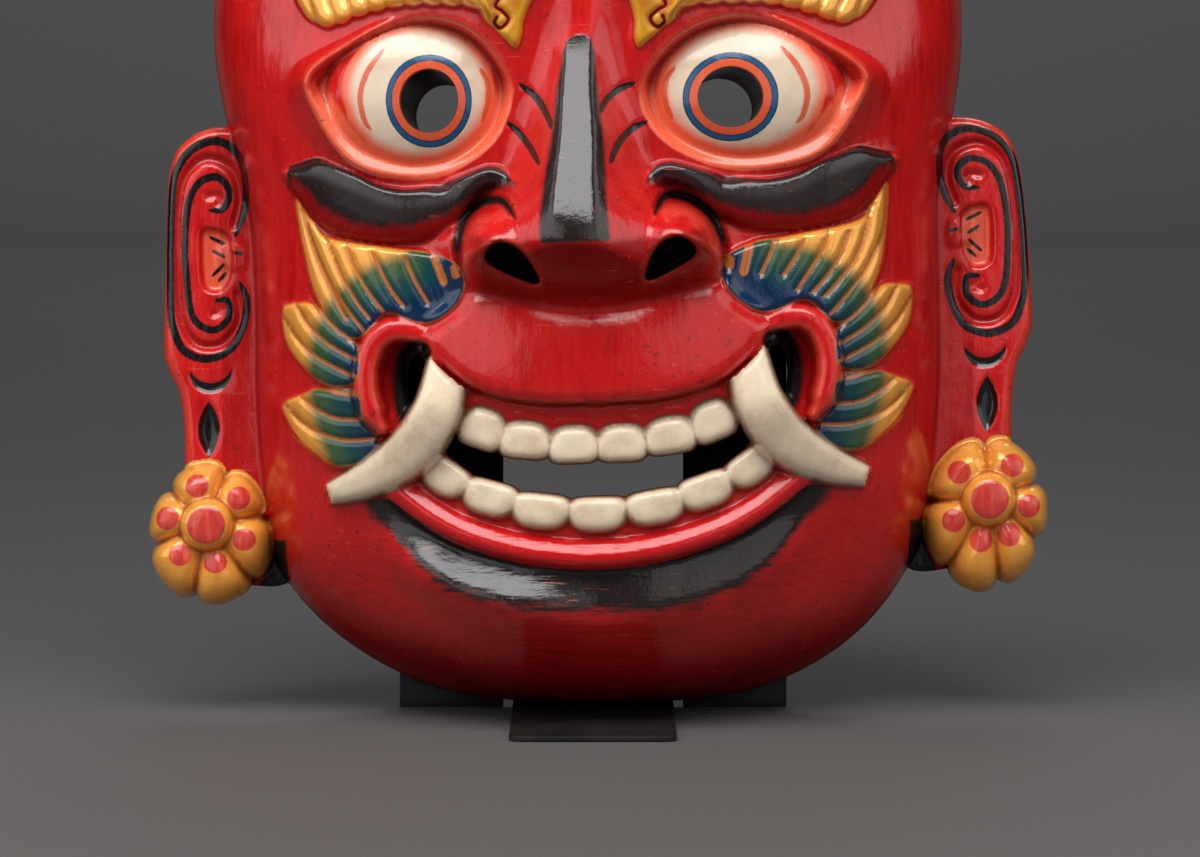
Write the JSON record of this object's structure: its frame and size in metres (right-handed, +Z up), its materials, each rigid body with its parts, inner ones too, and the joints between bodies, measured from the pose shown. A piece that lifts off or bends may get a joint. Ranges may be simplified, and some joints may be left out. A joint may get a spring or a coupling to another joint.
{
  "type": "carved festival mask on a stand",
  "caption": "Large carved and painted wooden demon face with fangs, bulging eyes, ears and flower earrings, upright on a bent sheet metal stand.",
  "frame": {"origin": "middle of the stand's tongue, on its underside, at the level of the table", "axes": "+Z up, the face looks along -Y, +X is to the right of someone looking at the face"},
  "size_m": [0.4562, 0.1953, 0.5052],
  "materials": {
    "painted_wood": "carved wood, hand painted in red with black, gold, blue-green and cream, glossy varnish with worn spots and grime in the recesses, back painted black",
    "black_steel": "thin sheet steel, semi-matt black paint with dust and light scratches"
  },
  "bodies": {
    "root": {"mask": "painted_wood", "stand": "black_steel"}
  },
  "joints": []
}
